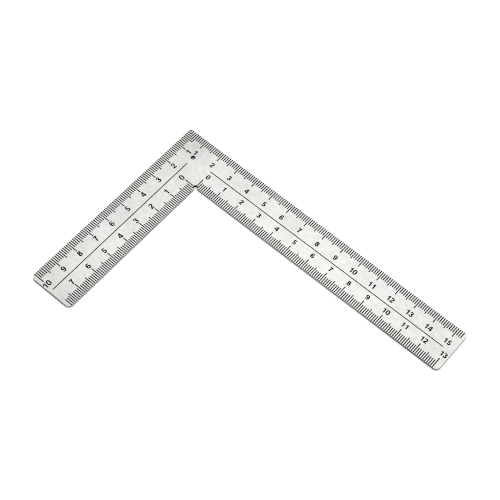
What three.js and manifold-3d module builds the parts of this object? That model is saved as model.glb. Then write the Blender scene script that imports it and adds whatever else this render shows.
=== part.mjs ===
// Steel square ruler: a rigid L of steel strip with etched millimetre scales on all
// four long edges. The corner chevrons, the whole-centimetre marks and the two centre
// lines are filled with black enamel; the other marks are only etched.
//
// Frame: millimetres, +Z up. The origin is the middle of the bounding box in X
// and Y, on the underside. The long arm runs along +X at the back (+Y), the short
// arm runs towards -Y at the left (-X). The graduated face looks up.
//
// Marks are laid out in ruler coordinates: u runs along the long arm and v along
// the short arm, both from the sharp outer corner.

import * as THREE from 'three';
import * as BufferGeometryUtils from 'three/addons/utils/BufferGeometryUtils.js';
import Module from 'manifold-3d';

// ---- driving dimensions (mm) -------------------------------------------------
const LONG_ARM = 154.8;        // overall length of the long arm
const SHORT_ARM = 101.9;       // overall length of the short arm
const ARM_WIDTH = 22;          // both arms
const THICKNESS = 1.7;
const END_RADIUS = 2.2;        // the four corners at the arm ends
const OUTER_RADIUS = 0.5;      // the outer corner of the square
const RELIEF_RADIUS = 1.1;     // relief hole on the inner corner
const HOLE_RADIUS = 1.0;       // hole in the corner square
const HOLE_INSET = ARM_WIDTH / 2; // its distance from both outer edges

const ETCH_DEPTH = 0.05;
const ETCH_FLOOR = THICKNESS - ETCH_DEPTH;
const MARK_WIDTH = 0.48;       // width of every graduation
const LINE_WIDTH = 0.43;       // width of the two centre lines
const OVERRUN = 0.5;           // how far a cutter runs past an edge and the top face

const CORNER_MARKS = 5;        // outer marks 1..5 mm run round the corner as chevrons
const INNER_ZERO_CLEAR = 1.25; // the inner zero marks stop this far short of the edge line

// Last mark of each scale, and mark lengths from the edge by rank:
// [millimetre, half centimetre, centimetre].
const SCALES = {
  long_outer: { last: 153, lengths: [3.4, 4.25, 5.2] },
  long_inner: { last: 130, lengths: [3.6, 4.45, 5.35] },
  short_outer: { last: 100, lengths: [3.75, 4.75, 5.7] },
  short_inner: { last: 78, lengths: [3.95, 4.95, 5.95] },
};

const LONG_LINE = { v: 11.45, from: 21.7, to: 150 };             // runs along u
const SHORT_LINE = { u: ARM_WIDTH / 2, from: 14.8, to: 100 };    // runs along v

// ---- ruler coordinates to the part frame ---------------------------------------
const toX = (u) => u - LONG_ARM / 2;
const toY = (v) => SHORT_ARM / 2 - v;

// Closed outline in the part frame from a list of [u, v] corners.
function rulerOutline(corners) {
  return corners.map(([u, v]) => new THREE.Vector2(toX(u), toY(v)));
}

function rectangle(u0, u1, v0, v1) {
  return rulerOutline([[u0, v1], [u1, v1], [u1, v0], [u0, v0]]);
}

// ---- solids --------------------------------------------------------------------
const wasm = await Module();
wasm.setup();

// Upright prism over a closed outline, welded by position into a watertight surface.
function prism(points, low, high, holes = []) {
  const shape = new THREE.Shape(points);
  shape.holes = holes.map((hole) => new THREE.Path(hole));
  const geometry = new THREE.ExtrudeGeometry(shape, {
    depth: high - low,
    bevelEnabled: false,
    steps: 1,
  });
  geometry.translate(0, 0, low);
  // Normals and UVs differ across sharp edges and would keep the faces apart.
  geometry.deleteAttribute('normal');
  geometry.deleteAttribute('uv');
  return BufferGeometryUtils.mergeVertices(geometry, 1e-5);
}

function solidOf(geometry) {
  return new wasm.Manifold(new wasm.Mesh({
    numProp: 3,
    vertProperties: new Float32Array(geometry.attributes.position.array),
    triVerts: new Uint32Array(geometry.index.array),
  }));
}

function geometryOf(solid) {
  const { vertProperties, triVerts } = solid.getMesh();
  const positions = new Float32Array(vertProperties);
  const geometry = new THREE.BufferGeometry();
  geometry.setAttribute('position', new THREE.BufferAttribute(positions, 3));
  geometry.setIndex(new THREE.BufferAttribute(new Uint32Array(triVerts), 1));
  geometry.computeVertexNormals();
  return geometry;
}

// ---- the plain strip -----------------------------------------------------------
// Points of an arc, both ends included; `from` and `to` count quarter turns from +X.
function arc(centreX, centreY, radius, from, to, steps) {
  return Array.from({ length: steps + 1 }, (_, i) => {
    const angle = (Math.PI / 2) * (from + ((to - from) * i) / steps);
    return new THREE.Vector2(
      centreX + radius * Math.cos(angle),
      centreY + radius * Math.sin(angle),
    );
  });
}

function plainStrip() {
  const left = toX(0);
  const right = toX(LONG_ARM);
  const innerX = toX(ARM_WIDTH);
  const back = toY(0);
  const front = toY(SHORT_ARM);
  const innerY = toY(ARM_WIDTH);

  // Counter-clockwise, starting on the left edge at the front of the short arm.
  const outline = [
    ...arc(left + END_RADIUS, front + END_RADIUS, END_RADIUS, 2, 3, 8),
    ...arc(innerX - END_RADIUS, front + END_RADIUS, END_RADIUS, 3, 4, 8),
    // Relief on the inner corner: the three quarters of a circle inside the steel.
    ...arc(innerX, innerY, RELIEF_RADIUS, -1, -4, 18),
    ...arc(right - END_RADIUS, innerY + END_RADIUS, END_RADIUS, 3, 4, 8),
    ...arc(right - END_RADIUS, back - END_RADIUS, END_RADIUS, 0, 1, 8),
    ...arc(left + OUTER_RADIUS, back - OUTER_RADIUS, OUTER_RADIUS, 1, 2, 4),
  ];
  // The full turn ends on its first point, which is dropped.
  const hole = arc(toX(HOLE_INSET), toY(HOLE_INSET), HOLE_RADIUS, 0, -4, 24).slice(0, -1);
  return solidOf(prism(outline, 0, THICKNESS, [hole]));
}

// ---- the marks -----------------------------------------------------------------
// A stroke has the outline that is etched, the outline that is filled, and the name
// of its enamel piece (null when it is only etched).

// Chevron n mm from both outer edges; its legs end `overrun` past those edges.
function chevron(n, overrun) {
  const near = n - MARK_WIDTH / 2;
  const far = n + MARK_WIDTH / 2;
  return rulerOutline([
    [-overrun, near], [near, near], [near, -overrun],
    [far, -overrun], [far, far], [-overrun, far],
  ]);
}

// Index into a scale's lengths.
function rankOf(n) {
  if (n % 10 === 0) return 2;
  return n % 5 === 0 ? 1 : 0;
}

// Straight mark n of a scale, ending `overrun` past its edge. Inner scales count
// from the inner corner.
function edgeMark(scale, n, overrun) {
  const inner = scale.endsWith('_inner');
  const length = SCALES[scale].lengths[rankOf(n)];
  const centre = inner ? ARM_WIDTH + n : n;
  const along = [centre - MARK_WIDTH / 2, centre + MARK_WIDTH / 2];
  const innerEnd = ARM_WIDTH + (n === 0 ? -INNER_ZERO_CLEAR : overrun);
  const across = inner ? [ARM_WIDTH - length, innerEnd] : [-overrun, length];
  return scale.startsWith('long_')
    ? rectangle(...along, ...across)
    : rectangle(...across, ...along);
}

function cornerStrokes() {
  const strokes = [];
  for (let n = 1; n <= CORNER_MARKS; n += 1) {
    strokes.push({
      name: `corner_mark_${n}mm`,
      etched: chevron(n, OVERRUN),
      filled: chevron(n, 0),
    });
  }
  return strokes;
}

function scaleStrokes(scale) {
  const strokes = [];
  const first = scale.endsWith('_outer') ? CORNER_MARKS + 1 : 0;
  for (let n = first; n <= SCALES[scale].last; n += 1) {
    const centimetre = String(n / 10).padStart(2, '0');
    strokes.push({
      name: n % 10 === 0 ? `${scale}_mark_${centimetre}cm` : null,
      etched: edgeMark(scale, n, OVERRUN),
      filled: edgeMark(scale, n, 0),
    });
  }
  return strokes;
}

function centreLineStrokes() {
  const half = LINE_WIDTH / 2;
  const { v } = LONG_LINE;
  const { u } = SHORT_LINE;
  const long = rectangle(LONG_LINE.from, LONG_LINE.to, v - half, v + half);
  const short = rectangle(u - half, u + half, SHORT_LINE.from, SHORT_LINE.to);
  return [
    { name: 'long_arm_centre_line', etched: long, filled: long },
    { name: 'short_arm_centre_line', etched: short, filled: short },
  ];
}

// ---- pieces and materials --------------------------------------------------------
const steel = () => new THREE.MeshStandardMaterial({
  color: 0xdfe0dc,
  metalness: 0.9,
  roughness: 0.38,
});
const enamel = () => new THREE.MeshStandardMaterial({
  color: 0x17181a,
  metalness: 0,
  roughness: 0.55,
});

function piece(name, geometry, material) {
  const mesh = new THREE.Mesh(geometry, material);
  mesh.name = name;
  return mesh;
}

function blade(strokes) {
  const cutters = strokes.map(({ etched }) => prism(etched, ETCH_FLOOR, THICKNESS + OVERRUN));
  const cutter = solidOf(BufferGeometryUtils.mergeGeometries(cutters));
  return piece('blade', geometryOf(plainStrip().subtract(cutter)), steel());
}

function enamelInfill(strokes) {
  const group = new THREE.Group();
  group.name = 'enamel_infill';
  for (const { name, filled } of strokes) {
    if (name) group.add(piece(name, prism(filled, ETCH_FLOOR, THICKNESS), enamel()));
  }
  return group;
}

const strokes = [
  ...cornerStrokes(),
  ...Object.keys(SCALES).flatMap(scaleStrokes),
  ...centreLineStrokes(),
];

const ruler = new THREE.Group();
ruler.name = 'steel_square_ruler';
ruler.add(blade(strokes), enamelInfill(strokes));

export default ruler;
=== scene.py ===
"""Steel square ruler: a flat L-shaped blade with etched, enamel-filled marks and numbers.

It lies flat on z = 0. The outer corner is at the blade's least x and greatest y; the long
arm runs from there along +x and the short arm along -y. The layout is in millimetres, in
ruler coordinates: u along the long arm and v along the short arm, from the outer corner.
"""
import math

import bpy
import numpy as np
from mathutils import Matrix, Vector
from mathutils.geometry import delaunay_2d_cdt


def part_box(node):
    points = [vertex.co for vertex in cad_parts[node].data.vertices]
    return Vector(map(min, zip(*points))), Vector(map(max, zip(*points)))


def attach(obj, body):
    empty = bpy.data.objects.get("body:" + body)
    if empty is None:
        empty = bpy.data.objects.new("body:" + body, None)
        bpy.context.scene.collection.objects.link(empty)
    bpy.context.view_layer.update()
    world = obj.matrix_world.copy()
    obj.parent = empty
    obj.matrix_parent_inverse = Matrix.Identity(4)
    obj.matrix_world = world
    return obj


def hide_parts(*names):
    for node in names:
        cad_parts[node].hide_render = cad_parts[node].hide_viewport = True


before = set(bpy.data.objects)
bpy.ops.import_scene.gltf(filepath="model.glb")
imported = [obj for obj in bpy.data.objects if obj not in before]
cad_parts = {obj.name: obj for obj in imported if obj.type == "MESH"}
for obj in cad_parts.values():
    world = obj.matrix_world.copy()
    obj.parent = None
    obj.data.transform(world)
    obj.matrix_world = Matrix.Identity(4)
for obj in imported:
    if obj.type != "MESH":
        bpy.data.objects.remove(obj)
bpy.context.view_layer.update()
LO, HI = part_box("blade")
MM = 0.001

# ---------------------------------------------------------------- sizes, in mm
X_CORNER = LO.x * 1000.0
Y_CORNER = HI.y * 1000.0
THICK = (HI.z - LO.z) * 1000.0
LONG = (HI.x - LO.x) * 1000.0
SHORT = (HI.y - LO.y) * 1000.0

ARM = 22.0             # width of both arms
END_R = 2.2            # corners of the arm ends
OUTER_R = 0.5          # outer corner of the L
RELIEF_R = 1.1         # round relief at the inner corner
HOLE_R = 1.0
HOLE_AT = ARM / 2      # both u and v of the hole
TOP_EDGE_R = 0.12      # deburred edge, top
LOW_EDGE_R = 0.12      # deburred edge, underside
ETCH = 0.05            # depth of the marks
INK_LOW = 0.006        # the enamel stands this far below the face
MIN_DEPTH = 2e-5       # an etched spot shallower than this counts as unetched

MARK_W = 0.48
LINE_W = 0.43
OVER = 0.6             # marks run this far past the edge and are cut off by it
FIRST_OUTER = 6        # the outer scales start here, after the L-shaped corner marks
ZERO_GAP = 1.25        # the inner scales' zero marks stop this far short of the edge
LONG_LINE_V = 11.45    # centre line of the long arm
LONG_LINE_U = (21.7, 150.0)
SHORT_LINE_U = ARM / 2
SHORT_LINE_V = (14.8, 100.0)

# scale: (last mark, reach of the 1, 5 and 10 mm marks, v or u of the figures' foot, cap height)
SCALES = {
    "long_outer": (153, (3.4, 4.25, 5.2), 9.6, 2.45),
    "long_inner": (130, (3.6, 4.45, 5.35), ARM - 6.6, 2.38),
    "short_outer": (100, (3.75, 4.75, 5.7), 8.8, 2.68),
    "short_inner": (78, (3.95, 4.95, 5.95), ARM - 6.4, 2.66),
}

# how far each number is off its nominal place: (along the line of figures, towards their foot)
OFF = {
    "long_outer": {
        1: (0.08, -0.08), 2: (-0.08, -0.08), 3: (0, -0.06), 5: (0, -0.08), 7: (-0.08, -0.08),
        10: (-0.24, 0), 11: (-0.08, 0), 12: (-0.08, 0), 13: (0, -0.06), 14: (-0.03, -0.08),
        15: (-0.15, -0.08),
    },
    "long_inner": {
        0: (0.8, 0.08), 1: (0.1, 0), 3: (0.08, 0.08), 4: (0.08, 0), 5: (0.1, 0), 6: (0.1, 0),
        7: (0.06, 0), 8: (0.1, 0.08), 9: (0.18, 0.08), 10: (0.1, 0.08), 11: (0.1, 0.08),
        13: (0.18, 0),
    },
    "short_outer": {
        1: (-0.18, 0.08), 2: (-0.08, 0), 4: (-0.18, 0.08), 5: (-0.08, 0), 6: (-0.1, 0),
        7: (-0.1, 0), 9: (0, 0.08), 10: (0.08, 0),
    },
    "short_inner": {
        0: (-0.2, -0.08), 1: (-0.27, -0.16), 2: (-0.27, -0.08), 3: (-0.1, -0.08),
        4: (-0.27, 0), 5: (-0.1, -0.08), 6: (-0.1, -0.08), 7: (-0.1, 0.08),
    },
}


def to_scene(u, v):
    """Ruler coordinates to scene x and y, still in mm."""
    return (X_CORNER + u, Y_CORNER - v)


# ---------------------------------------------------------------- loops of points
def sides(loop):
    """Pairs of neighbours around a closed loop."""
    return zip(loop, loop[1:] + loop[:1])


def signed_area(loop):
    """Positive for a counter-clockwise loop."""
    area = 0.0
    for (x0, y0), (x1, y1) in sides(loop):
        area += x0 * y1 - x1 * y0
    return area / 2


def counter_clockwise(loop):
    return loop[::-1] if signed_area(loop) < 0 else loop


def arc(cx, cy, radius, start, end, steps):
    angles = [start + (end - start) * i / steps for i in range(steps + 1)]
    return [(cx + radius * math.cos(a), cy + radius * math.sin(a)) for a in angles]


def outline(inset):
    """The L's outline moved inwards by inset, counter-clockwise."""
    quarter = math.pi / 2
    left, top = X_CORNER, Y_CORNER
    right, bottom = X_CORNER + LONG, Y_CORNER - SHORT
    x_inner, y_inner = X_CORNER + ARM, Y_CORNER - ARM
    end_r = END_R - inset
    relief_r = RELIEF_R + inset
    trim = math.asin(inset / relief_r)
    points = arc(left + END_R, bottom + END_R, end_r, 2 * quarter, 3 * quarter, 20)
    points += arc(x_inner - END_R, bottom + END_R, end_r, 3 * quarter, 4 * quarter, 20)
    points += arc(x_inner, y_inner, relief_r, -quarter - trim, -4 * quarter + trim, 44)
    points += arc(right - END_R, y_inner + END_R, end_r, 3 * quarter, 4 * quarter, 20)
    points += arc(right - END_R, top - END_R, end_r, 0, quarter, 20)
    points += arc(left + OUTER_R, top - OUTER_R, OUTER_R - inset, quarter, 2 * quarter, 10)
    return points


def hole(inset):
    """The hole's outline, moved into the steel by inset, clockwise."""
    cx, cy = to_scene(HOLE_AT, HOLE_AT)
    return arc(cx, cy, HOLE_R + inset, 0, -2 * math.pi, 48)[:-1]


# ---------------------------------------------------------------- rounded edges
RIM_SIDES = [side for loop in (outline(0.0), hole(0.0)) for side in sides(loop)]
RIM_FROM = np.array([side[0] for side in RIM_SIDES])
RIM_TO = np.array([side[1] for side in RIM_SIDES])


def edge_distance(points):
    """Distance of each point from the nearest edge of the blade or the hole."""
    points = np.asarray(points, float).reshape(-1, 2)
    distance = np.empty(len(points))
    run = RIM_TO - RIM_FROM
    run_squared = np.maximum((run * run).sum(1), 1e-18)
    batch = 512
    for first in range(0, len(points), batch):
        away = points[first : first + batch, None, :] - RIM_FROM[None]
        t = np.clip((away * run[None]).sum(2) / run_squared, 0, 1)
        gap = away - t[..., None] * run[None]
        distance[first : first + batch] = np.sqrt((gap ** 2).sum(2)).min(1)
    return distance


def drop(distance, radius):
    """How far a rounded edge lies below the face at a distance inside the outline."""
    inward = np.clip(radius - np.asarray(distance, float), 0.0, radius)
    return radius - np.sqrt(np.maximum(radius * radius - inward * inward, 0.0))


def ring_at(angle, radius):
    """Inset of the ring that lies at an angle up the rounding."""
    return radius * (1 - math.cos(angle))


# the first top ring is where the etched floor meets the rounding
ETCH_ANGLE = math.asin(1 - ETCH / TOP_EDGE_R)
TOP_RINGS = [
    ring_at(ETCH_ANGLE, TOP_EDGE_R),
    ring_at(math.radians(62), TOP_EDGE_R),
    TOP_EDGE_R,
]
LOW_RINGS = [
    ring_at(math.radians(30), LOW_EDGE_R),
    ring_at(math.radians(60), LOW_EDGE_R),
    LOW_EDGE_R,
]

# ---------------------------------------------------------------- numerals
# Plain grotesque figures drawn as strokes, then united. Units are cap heights.
STEM, BAR = 0.250, 0.205   # stroke widths, upright and level
ADVANCE = 0.777            # from one figure to the next
SIDE_GAP = 0.0585          # left of each figure
LIGHT = 0.92               # stroke weight on the short arm


def ellipse(cx, cy, rx, ry, start, end, steps, power=2.0):
    """Arc of an ellipse, angles in degrees; a power above 2 makes it squarer."""
    points = []
    for i in range(steps + 1):
        angle = math.radians(start + (end - start) * i / steps)
        c, s = math.cos(angle), math.sin(angle)
        points.append((cx + rx * math.copysign(abs(c) ** (2 / power), c),
                       cy + ry * math.copysign(abs(s) ** (2 / power), s)))
    return points


def bezier(*controls, steps=14):
    points = []
    for i in range(steps + 1):
        t = i / steps
        points.append(tuple(
            (1 - t) ** 3 * a + 3 * t * (1 - t) ** 2 * b + 3 * t * t * (1 - t) * c + t ** 3 * d
            for a, b, c, d in zip(*controls)))
    return points


def band(path, stem, bar, closed=False):
    """Quads of a stroke along a path; upright parts are `stem` wide and level parts `bar`."""
    path = np.array(path, float)
    if closed:
        tangent = np.roll(path, -1, 0) - np.roll(path, 1, 0)
    else:
        tangent = np.gradient(path, axis=0)
    tangent /= np.linalg.norm(tangent, axis=1)[:, None]
    normal = np.c_[-tangent[:, 1], tangent[:, 0]]
    half = 0.5 * np.sqrt((stem * normal[:, 0]) ** 2 + (bar * normal[:, 1]) ** 2)
    left, right = path + normal * half[:, None], path - normal * half[:, None]
    count = len(path)
    quads = []
    for i in range(count if closed else count - 1):
        j = (i + 1) % count
        quads.append([tuple(right[i]), tuple(right[j]), tuple(left[j]), tuple(left[i])])
    return quads


def block(x0, y0, x1, y1):
    return [(x0, y0), (x1, y0), (x1, y1), (x0, y1)]


def draw_figures(weight):
    """Each figure as a list of overlapping polygons, foot at y = 0."""
    stem, bar = STEM * weight, BAR * weight

    def pen(path):
        return band(path, stem, bar)

    def ring(cx, cy, rx, ry, power=2.0):
        path = ellipse(cx, cy, rx, ry, 0, 360, 56, power)[:-1]
        return band(path, stem, bar, closed=True)

    figures = {}
    figures["0"] = ring(0.33, 0.5, 0.243, 0.425, 2.35)
    figures["1"] = [
        [(0.575, 0.0), (0.575, 1.0), (0.44, 1.0), (0.575 - stem, 0.86), (0.575 - stem, 0.0)],
        [(0.10, 0.61), (0.10, 0.80), (0.28, 0.87), (0.42, 1.0),
         (0.50, 1.0), (0.50, 0.78), (0.34, 0.72), (0.22, 0.65)],
    ]
    figures["2"] = pen(
        ellipse(0.335, 0.705, 0.236, 0.205, 174, -22, 30)
        + bezier((0.554, 0.628), (0.50, 0.47), (0.22, 0.35), (0.13, 0.10))[1:])
    figures["2"].append(block(0.015, 0.0, 0.665, bar))
    figures["3"] = pen(ellipse(0.315, 0.735, 0.212, 0.170, 170, -84, 30))
    figures["3"] += pen(ellipse(0.318, 0.290, 0.243, 0.197, 84, -170, 34))
    figures["3"].append(block(0.235, 0.528 - bar / 2, 0.385, 0.528 + bar / 2))
    figures["4"] = [
        block(0.0, 0.195, 0.72, 0.195 + bar),
        block(0.39, 0.0, 0.39 + stem, 1.0),
        [(0.0, 0.30), (0.19, 0.36), (0.41, 0.715), (0.42, 1.0), (0.37, 1.0), (0.0, 0.40)],
    ]
    figures["5"] = [
        block(0.12, 1.0 - bar, 0.61, 1.0),
        [(0.035, 0.475), (0.235, 0.455), (0.30, 0.90), (0.30, 1.0), (0.12, 1.0)],
    ]
    figures["5"] += pen(ellipse(0.325, 0.325, 0.243, 0.222, 148, -168, 40))
    figures["6"] = ring(0.337, 0.318, 0.240, 0.222)
    figures["6"] += pen(ellipse(0.345, 0.50, 0.250, 0.405, 34, 205, 34, 2.15))
    # the 9 is the 6 turned half round
    figures["9"] = [[(0.66 - x, 1.0 - y) for x, y in shape] for shape in figures["6"]]
    leg = [(0.560, 0.99), (0.555, 0.93)]
    leg += bezier((0.550, 0.885), (0.40, 0.70), (0.29, 0.40), (0.275, 0.0))
    figures["7"] = [block(0.02, 1.0 - bar, 0.66, 1.0)] + band(leg, stem, stem)
    figures["8"] = ring(0.33, 0.735, 0.203, 0.162) + ring(0.33, 0.290, 0.243, 0.197)
    return figures


def tidy(loop):
    """Drops near-duplicates and points on a straight run."""
    kept = []
    for i, point in enumerate(loop):
        before, after = np.array(loop[i - 1]), np.array(loop[(i + 1) % len(loop)])
        here = np.array(point)
        if np.linalg.norm(here - before) < 2e-4:
            continue
        bend = abs((here[0] - before[0]) * (after[1] - here[1])
                   - (here[1] - before[1]) * (after[0] - here[0]))
        if bend >= 1e-6:
            kept.append(point)
    return kept


def unite(shapes):
    """Outer loops (counter-clockwise) and counters (clockwise) of a union of polygons."""
    verts, faces = [], []
    for shape in shapes:
        faces.append(list(range(len(verts), len(verts) + len(shape))))
        verts += [Vector(p) for p in counter_clockwise(shape)]
    points, _, cells, _, _, sources = delaunay_2d_cdt(verts, [], faces, 0, 1e-5, True)
    edges = set()
    for cell, source in zip(cells, sources):
        if source:
            edges.update(sides(cell))
    rim = {}
    for a, b in edges:
        if (b, a) not in edges:
            rim.setdefault(a, []).append(b)
    loops = []
    while rim:
        start = at = next(iter(rim))
        loop = []
        while True:
            loop.append(at)
            following = rim[at].pop()
            if not rim[at]:
                del rim[at]
            at = following
            if at == start:
                break
        loop = tidy([tuple(points[i]) for i in loop])
        if len(loop) >= 3 and abs(signed_area(loop)) > 4e-4:
            loops.append(loop)
    return loops


FIGURES = {
    "long": {digit: unite(shapes) for digit, shapes in draw_figures(1.0).items()},
    "short": {digit: unite(shapes) for digit, shapes in draw_figures(LIGHT).items()},
}

# ---------------------------------------------------------------- marks and numbers
# Each: (piece name, [outer loops], [counter loops]), all counter-clockwise in the scene.
strokes = []


def rect(u_span, v_span):
    x0, y0 = to_scene(u_span[0], v_span[1])
    x1, y1 = to_scene(u_span[1], v_span[0])
    return block(x0, y0, x1, y1)


def around(centre, width):
    return (centre - width / 2, centre + width / 2)


def add_corner_marks():
    """L-shaped marks shared by both outer scales."""
    for n in range(1, FIRST_OUTER):
        near, far = around(n, MARK_W)
        corners = ((-OVER, near), (near, near), (near, -OVER),
                   (far, -OVER), (far, far), (-OVER, far))
        loop = [to_scene(u, v) for u, v in corners]
        strokes.append(("corner_marks", [counter_clockwise(loop)], []))


def add_graduations(scale):
    last, reaches, _, _ = SCALES[scale]
    outer = scale.endswith("outer")
    for n in range(FIRST_OUTER if outer else 0, last + 1):
        reach = reaches[2 if n % 10 == 0 else (1 if n % 5 == 0 else 0)]
        if outer:
            along, across = around(n, MARK_W), (-OVER, reach)
        else:
            end = ARM - ZERO_GAP if n == 0 else ARM + OVER
            along, across = around(ARM + n, MARK_W), (ARM - reach, end)
        loop = rect(along, across) if scale.startswith("long") else rect(across, along)
        strokes.append(("graduations_" + scale, [loop], []))


def add_number(scale, number, at, foot, cap):
    """One number centred on its mark, but for its own offset."""
    shift, rise = OFF[scale].get(number, (0, 0))
    foot += rise
    arm = scale.split("_")[0]
    text = str(number)
    width = ADVANCE * cap * len(text)
    for i, digit in enumerate(text):
        left = -width / 2 + i * ADVANCE * cap + SIDE_GAP * cap + shift
        outers, counters = [], []
        for loop in FIGURES[arm][digit]:
            points = []
            for x, y in loop:
                along, height = left + x * cap, y * cap
                if arm == "long":
                    points.append(to_scene(at + along, foot - height))
                else:
                    points.append(to_scene(foot - height, at - along))
            group = outers if signed_area(loop) > 0 else counters
            group.append(counter_clockwise(points))
        strokes.append(("numerals_" + scale, outers, counters))


add_corner_marks()
for scale in SCALES:
    add_graduations(scale)
long_line = rect(LONG_LINE_U, around(LONG_LINE_V, LINE_W))
short_line = rect(around(SHORT_LINE_U, LINE_W), SHORT_LINE_V)
strokes.append(("centre_line_long_arm", [long_line], []))
strokes.append(("centre_line_short_arm", [short_line], []))
for scale, (last, _, foot, cap) in SCALES.items():
    first, zero = (1, 0.0) if scale.endswith("outer") else (0, ARM)
    for cm in range(first, last // 10 + 1):
        add_number(scale, cm, zero + cm * 10.0, foot, cap)


# ---------------------------------------------------------------- the top surface
def triangulate():
    """Points of the top, and its triangles as (corners, stroke index or -1 for bare steel)."""
    verts, edges, faces, tags = [], [], [], []

    def add(loop, tag=None):
        ids = list(range(len(verts), len(verts) + len(loop)))
        verts.extend(Vector(p) for p in loop)
        if tag is None:
            edges.extend(sides(ids))
        else:
            faces.append(ids)
            tags.append(tag)

    add(outline(0.0), ("blade", None))
    add(hole(0.0)[::-1], ("hole", None))
    for inset in TOP_RINGS:
        add(outline(inset))
        add(hole(inset))
    for k, (_, outers, counters) in enumerate(strokes):
        for loop in outers:
            add(loop, ("ink", k))
        for loop in counters:
            add(loop, ("counter", k))
    points, _, cells, _, _, sources = delaunay_2d_cdt(verts, edges, faces, 0, 1e-6, True)
    triangles = []
    for cell, source in zip(cells, sources):
        names = {tags[i] for i in source}
        kinds = {name[0] for name in names}
        if "blade" not in kinds or "hole" in kinds:
            continue
        ink = -1
        if "ink" in kinds and "counter" not in kinds:
            ink = next(name[1] for name in names if name[0] == "ink")
        triangles.append((tuple(cell), ink))
    return [tuple(p) for p in points], triangles


points, triangles = triangulate()
inside = edge_distance(points)
z_metal = THICK - drop(inside, TOP_EDGE_R)
z_floor = np.minimum(THICK - ETCH, z_metal)
z_ink = np.minimum(THICK - INK_LOW, z_metal)
z_floor = np.where(z_metal - z_floor < MIN_DEPTH, z_metal, z_floor)

# which triangle each directed side belongs to
side_owner = {side: k for k, (tri, _) in enumerate(triangles) for side in sides(tri)}


def unetched(i):
    return z_floor[i] == z_metal[i]


def is_flat(tri):
    """The rounding has dropped below the etched floor, so no recess is left."""
    return all(unetched(i) for i in tri)


class MeshBuilder:
    """Collects vertices, given in mm and shared by key, and faces."""

    def __init__(self):
        self.coords, self.faces, self.slots, self.index = [], [], [], {}

    def vert(self, key, x, y, z):
        if key not in self.index:
            self.index[key] = len(self.coords)
            self.coords.append((x * MM, y * MM, z * MM))
        return self.index[key]

    def at(self, i, level, z):
        """The vertex over top point i on a named level."""
        return self.vert((i, level), points[i][0], points[i][1], z)

    def metal(self, i):
        return self.at(i, "metal", z_metal[i])

    def floor(self, i):
        return self.metal(i) if unetched(i) else self.at(i, "floor", z_floor[i])

    def ink(self, i):
        return self.metal(i) if unetched(i) else self.at(i, "ink", z_ink[i])

    def low(self, i):
        return self.at(i, "low", LOW_EDGE_R)

    def face(self, ids, slot=0):
        ids = [v for i, v in enumerate(ids) if v != ids[i - 1]]
        if len(set(ids)) >= 3:
            self.faces.append(ids)
            self.slots.append(slot)

    def mesh(self, name):
        mesh = bpy.data.meshes.new(name)
        mesh.from_pydata(self.coords, [], self.faces)
        mesh.polygons.foreach_set("material_index", self.slots)
        mesh.update()
        return mesh


# ---------------------------------------------------------------- blade
FACE, EDGE, ETCHED, BORE = 0, 1, 2, 3   # material slots


def on_end(tri):
    """On the rounding of an arm end, which takes the darker edge material, painted shade
    included, like the wall below it.
    """
    depths = [inside[i] for i in tri]
    if max(depths) > TOP_EDGE_R + 1e-4 or min(depths) > TOP_EDGE_R - 1e-4:
        return False
    x, y = (sum(points[i][axis] for i in tri) / 3 for axis in (0, 1))
    margin = END_R / 2
    long_end = x > X_CORNER + LONG - margin and y < Y_CORNER - margin
    short_end = (y < Y_CORNER - SHORT + margin
                 and X_CORNER + margin < x < X_CORNER + ARM - margin)
    return long_end or short_end


def in_bore(i):
    """On the wall of the hole or of the corner relief."""
    (hole_x, hole_y), (relief_x, relief_y) = to_scene(HOLE_AT, HOLE_AT), to_scene(ARM, ARM)
    x, y = points[i][0], points[i][1]
    return (math.hypot(x - hole_x, y - hole_y) < HOLE_R + 0.3
            or math.hypot(x - relief_x, y - relief_y) < RELIEF_R + 0.02)


def find_rim_loops():
    """Loops of top points along the outline and the hole."""
    following = {a: b for a, b in side_owner if (b, a) not in side_owner}
    loops = []
    while following:
        at = next(iter(following))
        loop = []
        while at in following:
            loop.append(at)
            at = following.pop(at)
        loops.append(loop)
    return loops


def add_top(blade):
    """The face, the etched floors and the walls between them."""
    for tri, ink in triangles:
        if ink < 0:
            blade.face([blade.metal(i) for i in tri], EDGE if on_end(tri) else FACE)
        else:
            blade.face([blade.floor(i) for i in tri], FACE if is_flat(tri) else ETCHED)
            continue
        for a, b in sides(tri):
            other = side_owner.get((b, a))
            if other is not None and triangles[other][1] >= 0:
                wall = [blade.metal(b), blade.metal(a), blade.floor(a), blade.floor(b)]
                blade.face(wall, ETCHED)


def add_walls(blade, loops):
    """Side walls, straight down to where the lower edge rounding starts."""
    for loop in loops:
        for a, b in sides(loop):
            wall = [blade.metal(b), blade.metal(a), blade.low(a), blade.low(b)]
            blade.face(wall, BORE if in_bore(a) and in_bore(b) else EDGE)


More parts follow.
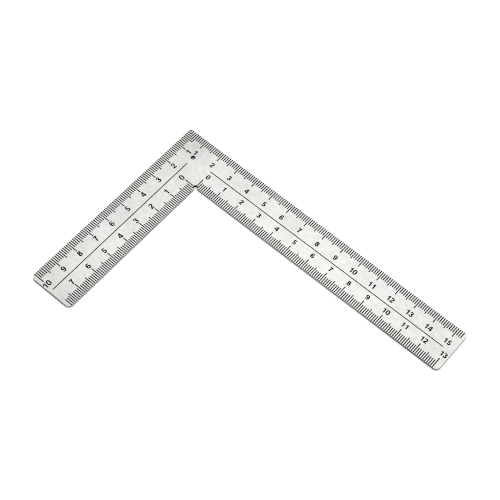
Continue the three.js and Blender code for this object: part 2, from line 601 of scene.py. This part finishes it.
def add_underside(blade, loops):
    verts, edges, faces, top_ids = [], [], [], []
    for loop in loops:
        ids = list(range(len(verts), len(verts) + len(loop)))
        verts += [Vector(points[i]) for i in loop]
        top_ids += loop
        faces.append(ids if signed_area([points[i] for i in loop]) > 0 else ids[::-1])
    areas = [abs(signed_area([tuple(verts[i]) for i in face])) for face in faces]
    outer_face = areas.index(max(areas))
    for inset in LOW_RINGS:
        for loop in (outline(inset), hole(inset)):
            ids = list(range(len(verts), len(verts) + len(loop)))
            verts += [Vector(p) for p in loop]
            edges += sides(ids)
    found, _, cells, origins, _, sources = delaunay_2d_cdt(verts, edges, faces, 0, 1e-6, True)
    depths = edge_distance([tuple(p) for p in found])
    rim_of = {}
    for i, origin in enumerate(origins):
        for k in origin:
            if k < len(top_ids):
                rim_of[i] = top_ids[k]
    for cell, source in zip(cells, sources):
        if outer_face not in source or len(source) != 1:
            continue
        ids = []
        for i in cell:
            if i in rim_of:
                ids.append(blade.low(rim_of[i]))
            else:
                z = float(drop(depths[i], LOW_EDGE_R))
                ids.append(blade.vert(("under", i), found[i][0], found[i][1], z))
        blade.face(ids[::-1], FACE)


def build_blade():
    blade = MeshBuilder()
    loops = find_rim_loops()
    add_top(blade)
    add_walls(blade, loops)
    add_underside(blade, loops)
    return blade


# ---------------------------------------------------------------- enamel
def build_enamel():
    """A closed filling for every recess, one mesh per piece name."""
    builders = {}
    for tri, ink in triangles:
        if ink < 0 or is_flat(tri):
            continue
        filler = builders.setdefault(strokes[ink][0], MeshBuilder())
        filler.face([filler.ink(i) for i in tri])
        filler.face([filler.floor(i) for i in tri][::-1])
        for a, b in sides(tri):
            other = side_owner.get((b, a))
            filled = (other is not None and triangles[other][1] >= 0
                      and not is_flat(triangles[other][0]))
            if not filled:
                filler.face([filler.ink(b), filler.ink(a), filler.floor(a), filler.floor(b)])
    return builders


# ---------------------------------------------------------------- shader helpers
def grey(value):
    return (value, value, value, 1)


class Nodes:
    """Short calls for wiring a node tree; any value may be a number, a tuple or a socket."""

    def __init__(self, tree):
        self.tree = tree
        tree.nodes.clear()

    def node(self, kind, **settings):
        made = self.tree.nodes.new(kind)
        for name, value in settings.items():
            setattr(made, name, value)
        return made

    def put(self, socket, value):
        if isinstance(value, bpy.types.NodeSocket):
            self.tree.links.new(value, socket)
        else:
            socket.default_value = value

    def fill(self, node, values):
        for name, value in values.items():
            self.put(node.inputs[name], value)

    def math(self, operation, *values):
        made = self.node("ShaderNodeMath", operation=operation)
        for slot, value in enumerate(values):
            self.put(made.inputs[slot], value)
        return made.outputs[0]

    def total(self, terms):
        result = terms[0]
        for term in terms[1:]:
            result = self.math("ADD", result, term)
        return result

    def remap(self, value, to, span=(0.3, 0.7)):
        """Clamped linear map; the usual span is where noise mostly lies."""
        made = self.node("ShaderNodeMapRange")
        self.fill(made, {"From Min": span[0], "From Max": span[1],
                         "To Min": to[0], "To Max": to[1], "Value": value})
        return made.outputs["Result"]

    def mix(self, factor, first, second):
        """Colour mix: first at factor 0, second at 1."""
        made = self.node("ShaderNodeMix", data_type="RGBA")
        for slot, value in ((0, factor), (6, first), (7, second)):
            self.put(made.inputs[slot], value)
        return made.outputs[2]


class Material(Nodes):
    """A material with one Principled shader, laid out in object coordinates (metres)."""

    def __init__(self, name):
        self.material = bpy.data.materials.new(name)
        self.material.use_nodes = True
        super().__init__(self.material.node_tree)
        self.output = self.node("ShaderNodeOutputMaterial")
        self.bsdf = self.node("ShaderNodeBsdfPrincipled")
        self.coord = self.node("ShaderNodeTexCoord").outputs["Object"]

    def noise(self, scale, detail=3.0, roughness=0.5, turn=0):
        """Noise with one scale or one per axis, turned about z by degrees."""
        mapping = self.node("ShaderNodeMapping")
        self.fill(mapping, {
            "Scale": scale if isinstance(scale, tuple) else (scale, scale, scale),
            "Rotation": (0, 0, math.radians(turn)),
            "Vector": self.coord,
        })
        made = self.node("ShaderNodeTexNoise")
        self.fill(made, {"Scale": 1.0, "Detail": detail, "Roughness": roughness,
                         "Vector": mapping.outputs["Vector"]})
        return made.outputs["Fac"]

    def distance_to(self, point):
        made = self.node("ShaderNodeVectorMath", operation="DISTANCE")
        self.put(made.inputs[0], self.coord)
        self.put(made.inputs[1], point)
        return made.outputs["Value"]

    def skin(self, values):
        self.fill(self.bsdf, values)

    def bump(self, height, strength, distance):
        made = self.node("ShaderNodeBump")
        self.fill(made, {"Strength": strength, "Distance": distance, "Height": height})
        self.skin({"Normal": made.outputs[0]})

    def finish(self, surface=None):
        self.put(self.output.inputs[0], surface or self.bsdf.outputs[0])
        return self.material


# ---------------------------------------------------------------- materials
# soft patches of painted sheen and painted shade, where the face is painted lighter or darker for
# how it catches the light:
# (u, v, reach in mm, change of tone)
SHEEN_AND_SHADE_PATCHES = [
    (15.5, 98.0, 11.0, -1.3), (8.5, 2.5, 11.5, -1.6), (65.0, 6.5, 10.0, -0.9),
    (40.0, 7.0, 9.0, -0.7), (149.0, 3.0, 9.0, 0.9), (8.0, 66.0, 12.0, 0.6),
    (13.0, 78.0, 13.0, 0.45), (13.0, 37.0, 12.0, 0.3),
]


def steel_face():
    """Fine satin stainless: lengthwise rolled grain, frosted skin, faint handling scratches, soft
    patches of painted sheen and shade.
    """
    mat = Material("satin_steel")
    grain = mat.noise(scale=(260.0, 9000.0, 260.0), detail=4.0, roughness=0.55)
    brush = mat.noise(scale=(110.0, 17000.0, 110.0), roughness=0.6)
    fine = mat.noise(scale=5200.0, roughness=0.6)
    mottle = mat.noise(scale=420.0, detail=4.0, roughness=0.6)
    blotch = mat.noise(scale=900.0, detail=2.0)
    cloud = mat.noise(scale=80.0)
    tint = mat.noise(scale=130.0, detail=2.0)
    scratch_a = mat.noise(scale=(60.0, 9500.0, 60.0), detail=2.0, turn=34)
    scratch_b = mat.noise(scale=(75.0, 11000.0, 75.0), detail=2.0, turn=-61)
    scratches = mat.math("MAXIMUM",
                         mat.remap(scratch_a, span=(0.70, 0.76), to=(0, 1)),
                         mat.remap(scratch_b, span=(0.71, 0.77), to=(0, 1)))

    # each noise with how far it swings the tone either way
    swings = ((mottle, 0.8), (cloud, 1.1), (blotch, 0.6), (grain, 0.4), (brush, 1.1), (fine, 0.5))
    tones = [mat.remap(noise, to=(-swing, swing)) for noise, swing in swings]
    # painted sheen and painted shade, one soft patch at a time
    for u, v, reach, change in SHEEN_AND_SHADE_PATCHES:
        x, y = to_scene(u, v)
        away = mat.distance_to((x * MM, y * MM, THICK * MM))
        # full change out to 0.27 of the reach, in metres
        tones.append(mat.remap(away, span=(reach * 0.00027, reach * MM), to=(change, 0.0)))
    tone = mat.remap(mat.total(tones), span=(-2.8, 2.8), to=(0.0, 1.0))

    warm = mat.mix(tone, (0.459, 0.462, 0.440, 1), (0.693, 0.696, 0.670, 1))
    cool = mat.mix(tone, (0.463, 0.463, 0.455, 1), (0.695, 0.694, 0.685, 1))
    colour = mat.mix(mat.remap(tint, span=(0.42, 0.58), to=(0.0, 1.0)), warm, cool)
    colour = mat.mix(mat.math("MULTIPLY", scratches, 0.10), colour, (0.70, 0.70, 0.69, 1))
    rough = mat.math("ADD", mat.remap(cloud, to=(0.36, 0.42)), mat.remap(fine, to=(-0.03, 0.03)))
    rough = mat.math("SUBTRACT", rough, mat.math("MULTIPLY", scratches, 0.08))
    mat.skin({"Base Color": colour, "Metallic": 1.0, "Roughness": rough, "Anisotropic": 0.25})

    height = mat.math("ADD", mat.math("MULTIPLY", grain, 0.6), mat.math("MULTIPLY", fine, 0.5))
    height = mat.math("ADD", height, mat.math("MULTIPLY", brush, 0.6))
    height = mat.math("SUBTRACT", height, mat.math("MULTIPLY", scratches, 0.5))
    mat.bump(height, strength=0.16, distance=0.00001)
    return mat.finish()


def steel_edge():
    """Sheared and tumbled edge: darker, partly its own dull finish and partly painted shade, with
    short upright shear lines.
    """
    mat = Material("sheared_steel_edge_painted_shade")
    lines = mat.noise(scale=(6500.0, 6500.0, 500.0), roughness=0.6)
    patch = mat.noise(scale=(350.0, 350.0, 900.0))
    tone = mat.math("ADD", mat.remap(lines, to=(0.0, 0.6)), mat.remap(patch, to=(0.0, 0.4)))
    colour = mat.mix(tone, (0.19, 0.19, 0.189, 1), (0.34, 0.34, 0.337, 1))
    axes = mat.node("ShaderNodeSeparateXYZ")
    mat.put(axes.inputs[0], mat.coord)
    x, y = axes.outputs[0], axes.outputs[1]

    # painted shade: the long arm's edges are darker than the short arm's, most of all toward its
    # end
    arm_painted_shade = mat.remap(y, span=(0.0280, 0.0288), to=(0.0, 0.22))
    colour = mat.mix(arm_painted_shade, colour, grey(0.02))
    arm_painted_shade = mat.remap(x, span=(0.038, 0.062), to=(0.0, 0.50))
    colour = mat.mix(arm_painted_shade, colour, grey(0.02))
    # painted shade: each arm end gets a tone of its own for how the light falls on it; the short
    # arm's brightens towards +x
    long_end = mat.remap(x, span=(0.0745, 0.0768), to=(0.0, 1.0))
    colour = mat.mix(long_end, colour, (0.27, 0.27, 0.268, 1))
    short_end = mat.remap(y, span=(-0.0485, -0.0505), to=(0.0, 1.0))
    shade = mat.remap(x, span=(-0.0585, -0.0565), to=(0.15, 0.32))
    colour = mat.mix(short_end, colour, shade)

    rough = mat.remap(lines, to=(0.38, 0.55))
    mat.skin({"Base Color": colour, "Metallic": 1.0, "Roughness": rough})
    mat.bump(lines, strength=0.4, distance=0.00002)
    return mat.finish()


def steel_bore():
    """Punched walls of the hole and the corner relief: near black, painted shade for the dark
    inside of the hole and the relief.
    """
    mat = Material("punched_steel_painted_shade")
    lines = mat.noise(scale=(7000.0, 7000.0, 700.0), roughness=0.6)
    mat.skin({
        "Base Color": mat.mix(lines, grey(0.002), (0.016, 0.0155, 0.015, 1)),
        "Metallic": 0.2,
        "Roughness": mat.remap(lines, to=(0.62, 0.80)),
        "Specular IOR Level": 0.08,
    })
    return mat.finish()


def steel_etched():
    """Floor and walls of the etched marks, a dull grey where the enamel leaves them bare."""
    mat = Material("etched_steel")
    pits = mat.noise(scale=14000.0, roughness=0.6)
    mat.skin({
        "Base Color": mat.mix(pits, grey(0.05), (0.16, 0.16, 0.155, 1)),
        "Metallic": 0.9,
        "Roughness": 0.6,
    })
    return mat.finish()


def enamel():
    """Baked black filler: nearly black, dull, slightly uneven."""
    mat = Material("black_enamel")
    grit = mat.noise(scale=9000.0, roughness=0.6)
    uneven = mat.noise(scale=900.0)
    tone = mat.math("ADD", mat.remap(grit, to=(0.0, 0.5)), mat.remap(uneven, to=(0.0, 0.5)))
    mat.skin({
        "Base Color": mat.mix(tone, (0.003, 0.003, 0.0035, 1), grey(0.013)),
        "Roughness": mat.remap(grit, to=(0.50, 0.68)),
        "Specular IOR Level": 0.16,
    })
    mat.bump(grit, strength=0.3, distance=0.00001)
    return mat.finish()


def floor_material():
    mat = Material("stage_floor")
    hole_x, hole_y = to_scene(HOLE_AT, HOLE_AT)
    away = mat.distance_to((hole_x * MM, hole_y * MM, 0.0))
    mat.skin({
        "Base Color": mat.mix(mat.noise(scale=30.0), grey(0.93), grey(0.945)),
        "Roughness": 0.9,
        "Specular IOR Level": 0.1,
        # a glow of its own keeps the floor white, except in the shade at the bottom of the hole
        "Emission Color": grey(1),
        "Emission Strength": mat.remap(away, span=(0.003, 0.004), to=(0.0, 0.30)),
    })
    # one-sided, and open to what rests right on it, so that the underside shows from below
    clear = mat.node("ShaderNodeBsdfTransparent")
    mix = mat.node("ShaderNodeMixShader")
    back = mat.node("ShaderNodeNewGeometry").outputs["Backfacing"]
    ray_length = mat.node("ShaderNodeLightPath").outputs["Ray Length"]
    see_through = mat.math("MAXIMUM", back, mat.math("LESS_THAN", ray_length, 0.0001))
    for slot, value in enumerate((see_through, mat.bsdf.outputs[0], clear.outputs[0])):
        mat.put(mix.inputs[slot], value)
    return mat.finish(mix.outputs[0])


# ---------------------------------------------------------------- pieces
scene = bpy.context.scene


def place(name, builder, materials):
    mesh = builder.mesh(name)
    piece = bpy.data.objects.new(name, mesh)
    for material in materials:
        mesh.materials.append(material)
    scene.collection.objects.link(piece)
    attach(piece, "root")
    return piece


def cad_named(prefix):
    return [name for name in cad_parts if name.startswith(prefix)]


def place_pieces():
    blade_materials = (steel_face(), steel_edge(), steel_etched(), steel_bore())
    ink_material = enamel()
    blade = place("square_blade", build_blade(), blade_materials)
    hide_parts("blade")

    # the CAD pieces that each enamel piece stands for; numerals have none
    stands_for = {
        "corner_marks": cad_named("corner_mark_"),
        "centre_line_long_arm": ["long_arm_centre_line"],
        "centre_line_short_arm": ["short_arm_centre_line"],
    }
    for scale in SCALES:
        stands_for["graduations_" + scale] = cad_named(scale + "_mark_")
    for name, builder in build_enamel().items():
        piece = place(name, builder, (ink_material,))
        if name in stands_for:
            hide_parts(*stands_for[name])


# ---------------------------------------------------------------- stage
def add_floor(half=4.0, z=-0.00003):
    """A square just under the blade, in metres."""
    mesh = bpy.data.meshes.new("floor")
    corners = [(x, y, z) for x, y in block(-half, -half, half, half)]
    mesh.from_pydata(corners, [], [(0, 1, 2, 3)])
    mesh.materials.append(floor_material())
    floor = bpy.data.objects.new("floor", mesh)
    scene.collection.objects.link(floor)


def add_world():
    """White surroundings, dimmer at the horizon and a touch brighter towards +x."""
    world = bpy.data.worlds.new("studio")
    scene.world = world
    world.use_nodes = True
    sky = Nodes(world.node_tree)
    output = sky.node("ShaderNodeOutputWorld")
    background = sky.node("ShaderNodeBackground")
    sky.put(output.inputs[0], background.outputs[0])
    axes = sky.node("ShaderNodeSeparateXYZ")
    sky.put(axes.inputs[0], sky.node("ShaderNodeTexCoord").outputs["Generated"])
    tilt, mean = 0.02, 1.105
    strength = sky.math("MULTIPLY_ADD", axes.outputs[0], tilt, mean)
    height = sky.math("ABSOLUTE", axes.outputs[2])
    dimming = sky.remap(height, span=(0.0, 0.85), to=(0.45, 1.0))
    strength = sky.math("MULTIPLY", strength, dimming)
    # the camera itself sees at least this much
    seen = sky.node("ShaderNodeLightPath").outputs["Is Camera Ray"]
    strength = sky.math("MAXIMUM", strength, sky.math("MULTIPLY", seen, 1.2))
    sky.fill(background, {"Strength": strength, "Color": (1, 1, 0.995, 1)})


def add_softbox(diameter, watts, location):
    """A round lamp aimed at the origin; metres."""
    light = bpy.data.lights.new("softbox", "AREA")
    light.shape = "DISK"
    light.size = diameter
    light.energy = watts
    softbox = bpy.data.objects.new("softbox", light)
    softbox.location = location
    aim = Vector((0, 0, 0)) - Vector(softbox.location)
    softbox.rotation_euler = aim.to_track_quat("-Z", "Y").to_euler()
    scene.collection.objects.link(softbox)


def add_camera(azimuth, elevation, roll, distance, target, lens, shift_x):
    """Looks down at target (x and y on the top face) from a distance; mm and degrees."""
    azimuth, elevation, roll = (math.radians(a) for a in (azimuth, elevation, roll))
    view = Vector((-math.sin(azimuth) * math.cos(elevation),
                   math.cos(azimuth) * math.cos(elevation),
                   -math.sin(elevation)))
    level = view.cross(Vector((0, 0, 1))).normalized()
    upright = level.cross(view)
    right = math.cos(roll) * level + math.sin(roll) * upright
    up = -math.sin(roll) * level + math.cos(roll) * upright
    data = bpy.data.cameras.new("camera")
    data.sensor_fit = "HORIZONTAL"
    data.sensor_width = 36.0
    data.lens = lens
    data.shift_x = shift_x
    data.clip_start = 0.01
    data.clip_end = 20.0
    camera = bpy.data.objects.new("camera", data)
    turn = Matrix((right, up, -view)).transposed()
    place_at = Vector((*target, THICK)) * MM - view * distance * MM
    camera.matrix_world = Matrix.Translation(place_at) @ turn.to_4x4()
    scene.collection.objects.link(camera)
    scene.camera = camera


def set_render():
    # Cycles settings exist only where that engine is enabled
    if hasattr(scene, "cycles"):
        # a crisp filter keeps neighbouring marks apart
        scene.cycles.pixel_filter_type = "BOX"
        scene.cycles.use_denoising = False
    scene.view_settings.view_transform = "Standard"
    scene.view_settings.look = "None"
    scene.view_settings.exposure = 0.0
    scene.view_settings.gamma = 1.0


place_pieces()
add_floor()
add_world()
add_softbox(diameter=0.5, watts=2.05, location=(-0.3755, 0.6388, 1.6314))
add_camera(azimuth=34.7085, elevation=60.4418, roll=6.3771, distance=592.4235,
           target=(-19.6984, 18.5584), lens=99.3469752, shift_x=0.016)
set_render()
